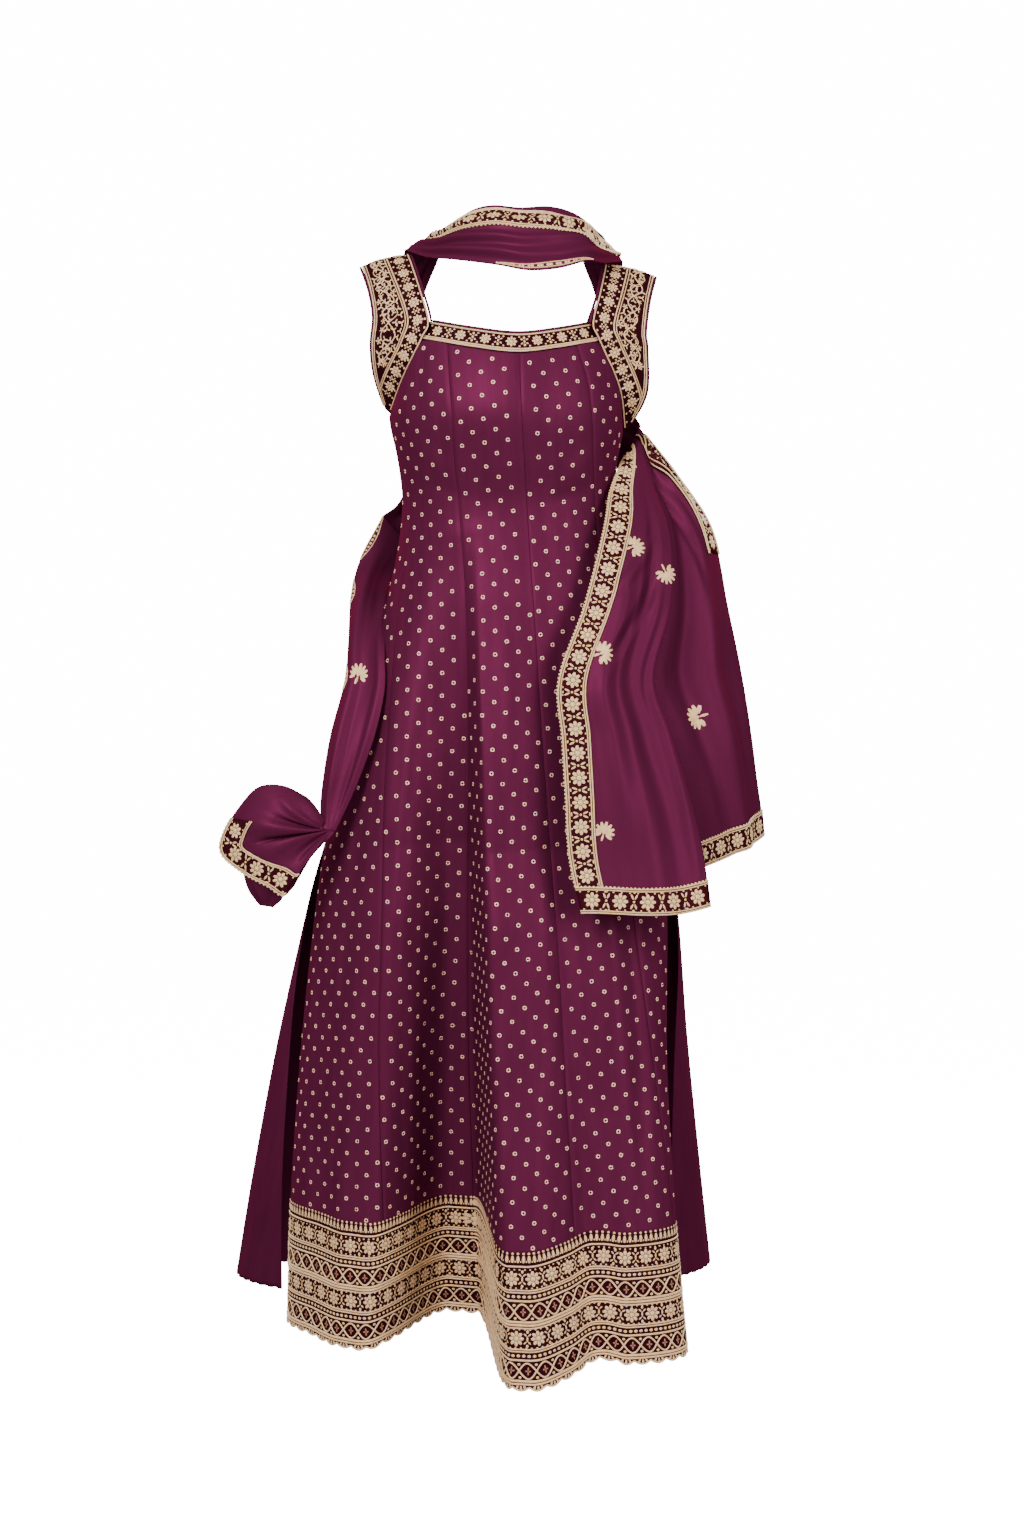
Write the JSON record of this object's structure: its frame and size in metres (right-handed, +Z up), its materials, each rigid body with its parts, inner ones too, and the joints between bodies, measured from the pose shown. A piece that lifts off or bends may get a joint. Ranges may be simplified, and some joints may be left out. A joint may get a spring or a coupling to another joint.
{
  "type": "kurti set",
  "caption": "Sleeveless plum satin A-line kurti with gold embroidered straps, neck band and hem border, and a matching dupatta with gold flower lace, as worn.",
  "frame": {"origin": "midway between the tops of the two shoulders, where the wearer holds the garment up", "axes": "+Z up, -Y towards the front of the garment, +X to the right as seen from the front"},
  "size_m": [0.6634, 0.5275, 1.3571],
  "materials": {
    "plum satin": "satin",
    "gold embroidery": "metallic thread embroidery"
  },
  "bodies": {
    "root": {"front_kali_side_left": "plum satin", "front_kali_left": "plum satin", "front_kali_middle_left": "plum satin", "front_kali_middle_right": "plum satin", "front_kali_right": "plum satin", "front_kali_side_right": "plum satin", "back_half_right": "plum satin", "back_half_left": "plum satin", "neck_band_back": "plum satin", "piping_armhole_left": "plum satin", "piping_armhole_right": "plum satin", "piping_neck": "plum satin", "dupatta_neck_loop": "plum satin", "dupatta_back_left": "plum satin", "dupatta_back_right": "plum satin", "dupatta_tail_left": "plum satin", "dupatta_end_left": "plum satin", "dupatta_end_left_under": "plum satin", "dupatta_fall_front": "plum satin", "dupatta_fall_back": "plum satin", "hem_border_front": "gold embroidery", "neck_band_front": "gold embroidery", "strap_left": "gold embroidery", "strap_right": "gold embroidery", "lace_neck_loop": "gold embroidery", "lace_end_left": "gold embroidery", "lace_fall_front_side": "gold embroidery", "lace_fall_front_hem": "gold embroidery", "lace_fall_back_hem": "gold embroidery", "lace_fall_back_side": "gold embroidery"}
  },
  "joints": []
}
